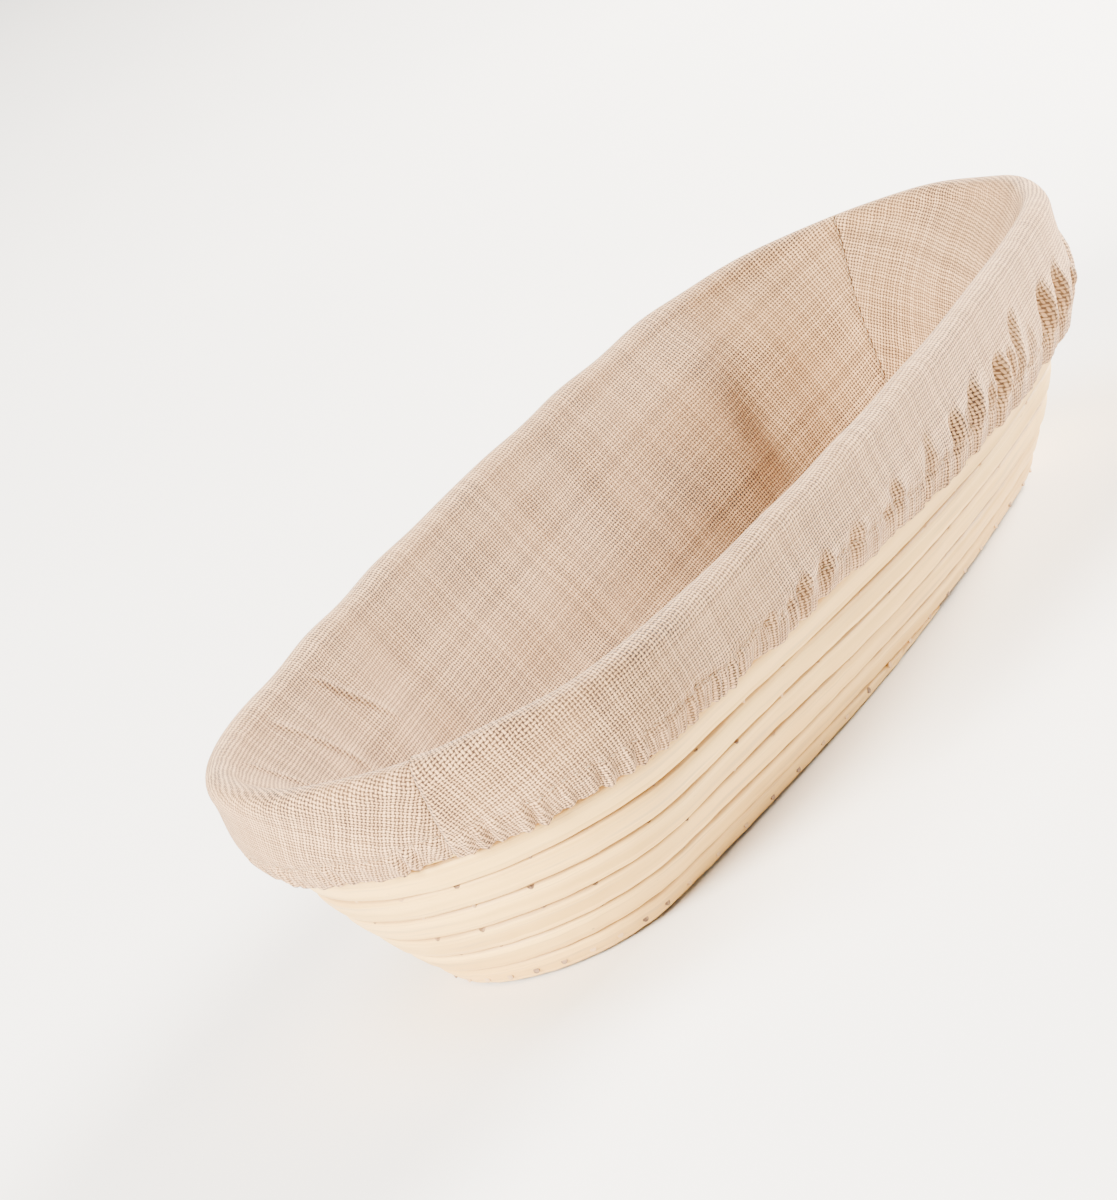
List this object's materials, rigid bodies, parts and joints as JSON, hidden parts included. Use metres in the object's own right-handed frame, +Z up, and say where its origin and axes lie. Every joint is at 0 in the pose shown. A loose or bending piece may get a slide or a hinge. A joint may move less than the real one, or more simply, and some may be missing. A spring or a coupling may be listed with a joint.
{
  "type": "proofing basket",
  "caption": "Oblong coiled cane proofing basket with leaning walls, and a removable linen liner folded over its rim as a gathered cuff.",
  "frame": {"origin": "centre of the flat underside, on the table", "axes": "+X along the length towards one rounded end, +Y across the width, +Z up through the opening"},
  "size_m": [0.3504, 0.1504, 0.0731],
  "materials": {
    "cane": "satin",
    "brad": "satin",
    "linen": "matte",
    "elastic": "matte",
    "thread": "matte"
  },
  "bodies": {
    "shell": {"wall_cane_1": "cane", "wall_cane_2": "cane", "wall_cane_3": "cane", "wall_cane_4": "cane", "base_cane_1": "cane", "base_cane_2": "cane", "base_core": "cane", "pins_wall": "brad", "pins_foot": "brad", "pins_base": "brad"},
    "liner": {"liner_floor": "linen", "liner_panel_front": "linen", "liner_panel_back": "linen", "liner_elastic": "elastic", "thread_floor_seam": "thread", "thread_end_seams": "thread", "thread_hem": "thread"}
  },
  "joints": [
    {"name": "liner_lift", "type": "slide", "parent": "shell", "child": "liner", "axis": [0, 0, 1], "range_m": [0, 0.12], "deforming": ["liner_panel_front", "liner_panel_back", "liner_elastic", "thread_end_seams", "thread_hem"]}
  ]
}
